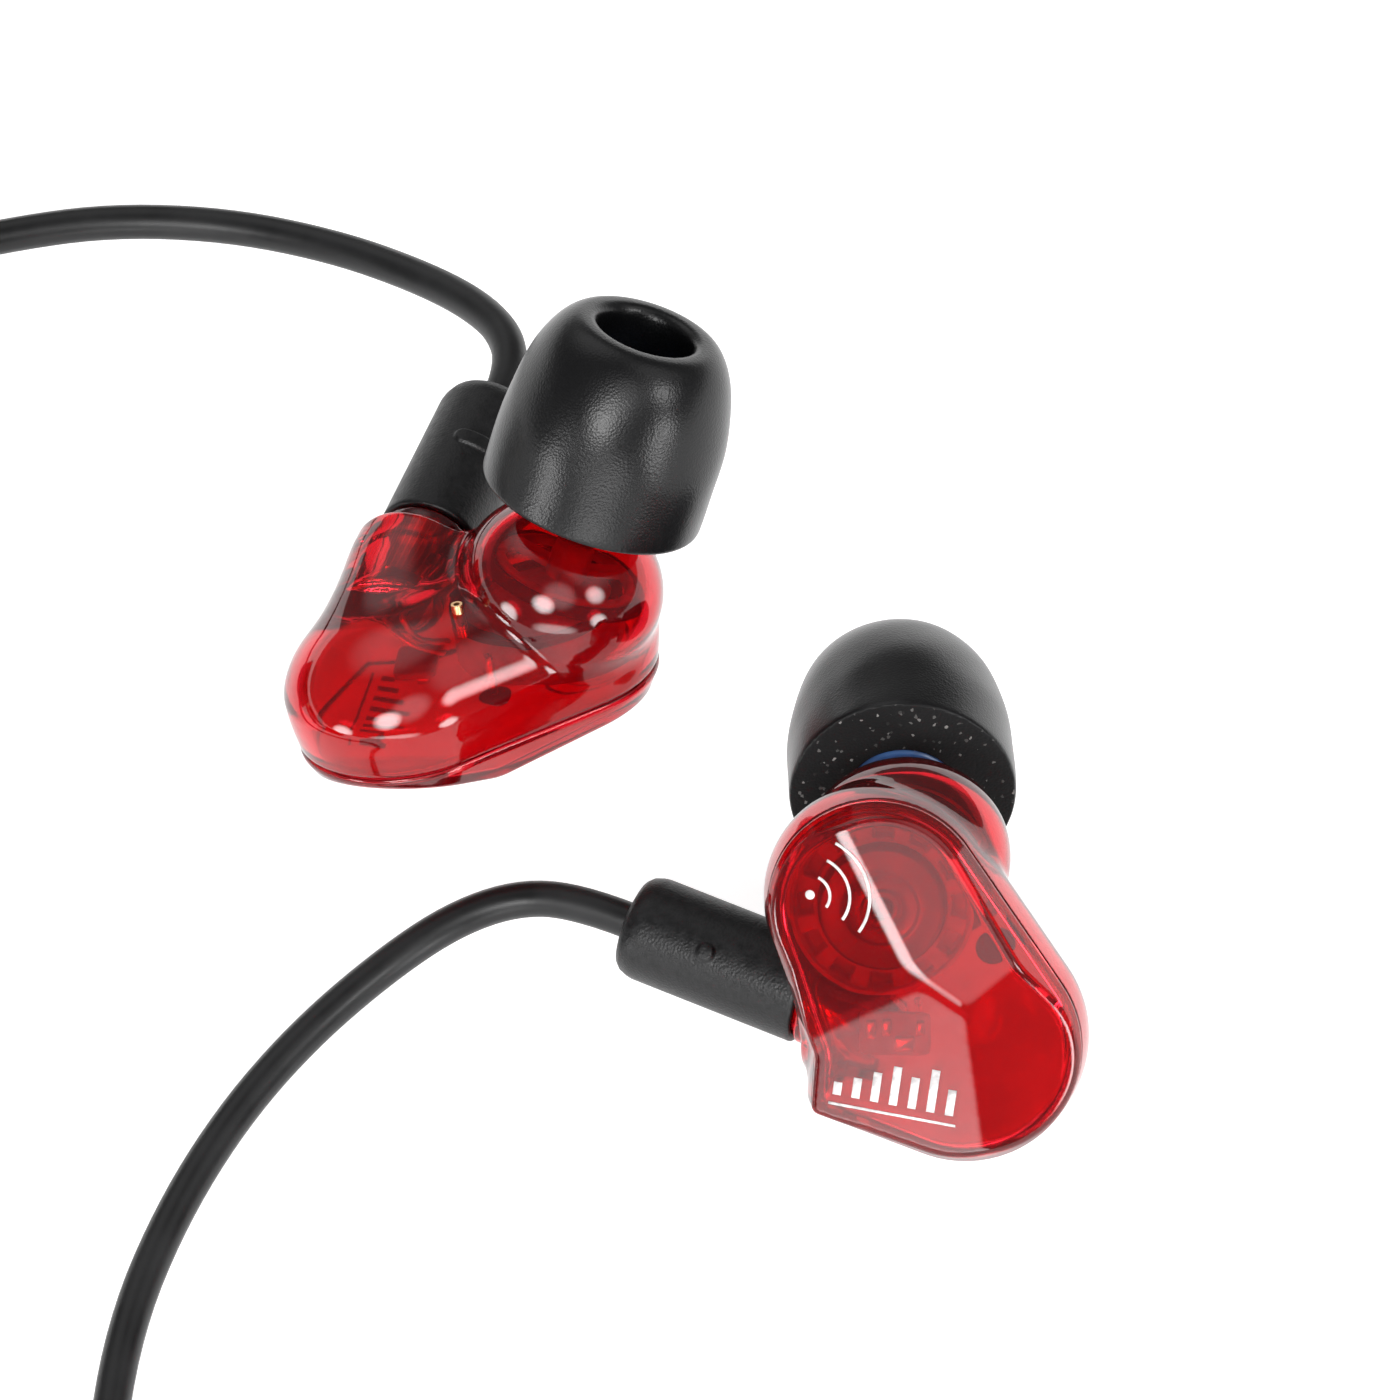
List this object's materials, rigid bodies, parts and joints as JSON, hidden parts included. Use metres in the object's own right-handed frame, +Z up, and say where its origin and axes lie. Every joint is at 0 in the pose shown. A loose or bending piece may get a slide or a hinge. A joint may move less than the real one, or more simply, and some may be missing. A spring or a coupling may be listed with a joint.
{
  "type": "in-ear monitors",
  "caption": "In-ear monitors with clear red shells, faceted faceplates, foam tips and detachable cables that join at a splitter and end in a 3.5 mm plug.",
  "frame": {"origin": "centre of the footprint of the two monitors and their connectors, on the surface they lie on", "axes": "+Z up, +Y away from the viewer, +X to the right"},
  "size_m": [0.1171, 0.0898, 0.0258],
  "materials": {
    "shell_resin": "clear red, polished",
    "faceplate_resin": null,
    "mesh_steel": "fine punched sheet",
    "driver_steel": "plated steel",
    "magnet": "nickel-plated magnet",
    "driver_frame": "moulded",
    "copper_wire": "enamelled copper",
    "diaphragm_film": "thin film",
    "gasket_foam": "fine foam",
    "gold_plate": "gold plated",
    "vent_brass": "drawn tube",
    "insulator_plastic": "moulded",
    "tip_foam": "slow-return foam with a smooth skin outside and open cells at its rear face",
    "tip_core": "soft blue tube",
    "barrel_plastic": "spark-eroded moulding",
    "cable_jacket": "satin black jacket",
    "tie_strap": "woven strap",
    "clip_plastic": "fine matt moulding",
    "relief_rubber": "ribbed rubber"
  },
  "bodies": {
    "cable": {"right_connector_barrel": "barrel_plastic", "right_plug_shell": "gold_plate", "right_plug_insulator": "insulator_plastic", "right_plug_pin": "gold_plate", "right_branch_cable": "cable_jacket", "right_branch_coil": "cable_jacket", "left_connector_barrel": "barrel_plastic", "left_plug_shell": "gold_plate", "left_plug_insulator": "insulator_plastic", "left_plug_pin": "gold_plate", "left_branch_cable": "cable_jacket", "left_branch_coil": "cable_jacket", "main_cable": "cable_jacket", "main_coil": "cable_jacket", "coil_ties": "tie_strap", "y_splitter": "clip_plastic", "plug_relief": "relief_rubber", "plug_housing": "clip_plastic", "plug_sleeve": "gold_plate", "plug_ring": "gold_plate", "plug_point": "gold_plate", "plug_insulators": "insulator_plastic"},
    "slider": {"chin_slider": "clip_plastic"},
    "right_snap": {"right_snap_ring": "gold_plate"},
    "right_monitor": {"right_shell_body": "shell_resin", "right_faceplate": "faceplate_resin", "right_nozzle_mesh": "mesh_steel", "right_driver_yoke": "driver_steel", "right_driver_magnet": "magnet", "right_driver_pole_plate": "driver_steel", "right_driver_basket": "driver_frame", "right_driver_gasket": "gasket_foam", "right_jack_shell": "gold_plate", "right_jack_insulator": "insulator_plastic", "right_jack_contact": "gold_plate", "right_lead_wires": "copper_wire", "right_vent_tube": "vent_brass"},
    "right_cone": {"right_voice_coil": "copper_wire", "right_driver_diaphragm": "diaphragm_film"},
    "right_tip": {"right_foam_tip": "tip_foam", "right_tip_core": "tip_core"},
    "left_snap": {"left_snap_ring": "gold_plate"},
    "left_monitor": {"left_shell_body": "shell_resin", "left_faceplate": "faceplate_resin", "left_nozzle_mesh": "mesh_steel", "left_driver_yoke": "driver_steel", "left_driver_magnet": "magnet", "left_driver_pole_plate": "driver_steel", "left_driver_basket": "driver_frame", "left_driver_gasket": "gasket_foam", "left_jack_shell": "gold_plate", "left_jack_insulator": "insulator_plastic", "left_jack_contact": "gold_plate", "left_lead_wires": "copper_wire", "left_vent_tube": "vent_brass"},
    "left_cone": {"left_voice_coil": "copper_wire", "left_driver_diaphragm": "diaphragm_film"},
    "left_tip": {"left_foam_tip": "tip_foam", "left_tip_core": "tip_core"}
  },
  "joints": [
    {"name": "chin_slider_slide", "type": "slide", "parent": "cable", "child": "slider", "axis": [0, -1, 0], "range_m": [0, 0.0094]},
    {"name": "right_swivel", "type": "hinge", "parent": "cable", "child": "right_snap", "pos_m": [0.00648, -0.01168, 0.00346], "axis": [0.9058, -0.4235, 0.0097], "continuous": true},
    {"name": "right_unplug", "type": "slide", "parent": "right_snap", "child": "right_monitor", "axis": [0.9058, -0.4235, 0.0097], "range_m": [0, 0.005]},
    {"name": "right_tip_off", "type": "slide", "parent": "right_monitor", "child": "right_tip", "axis": [-0.011, 0.94, -0.341], "range_m": [0, 0.0055]},
    {"name": "right_cone_travel", "type": "slide", "parent": "right_monitor", "child": "right_cone", "axis": [-0.0631, -0.7021, 0.7092], "range_m": [-0.0001, 0.0001], "stiffness_N_per_m": 100},
    {"name": "left_swivel", "type": "hinge", "parent": "cable", "child": "left_snap", "pos_m": [-0.01319, 0.01256, 0.00862], "axis": [-0.3181, -0.9345, 0.1599], "continuous": true},
    {"name": "left_unplug", "type": "slide", "parent": "left_snap", "child": "left_monitor", "axis": [-0.3181, -0.9345, 0.1599], "range_m": [0, 0.005]},
    {"name": "left_tip_off", "type": "slide", "parent": "left_monitor", "child": "left_tip", "axis": [0.2957, 0.4808, 0.8254], "range_m": [0, 0.0055]},
    {"name": "left_cone_travel", "type": "slide", "parent": "left_monitor", "child": "left_cone", "axis": [0.1459, -0.4637, -0.8739], "range_m": [-0.0001, 0.0001], "stiffness_N_per_m": 100}
  ]
}
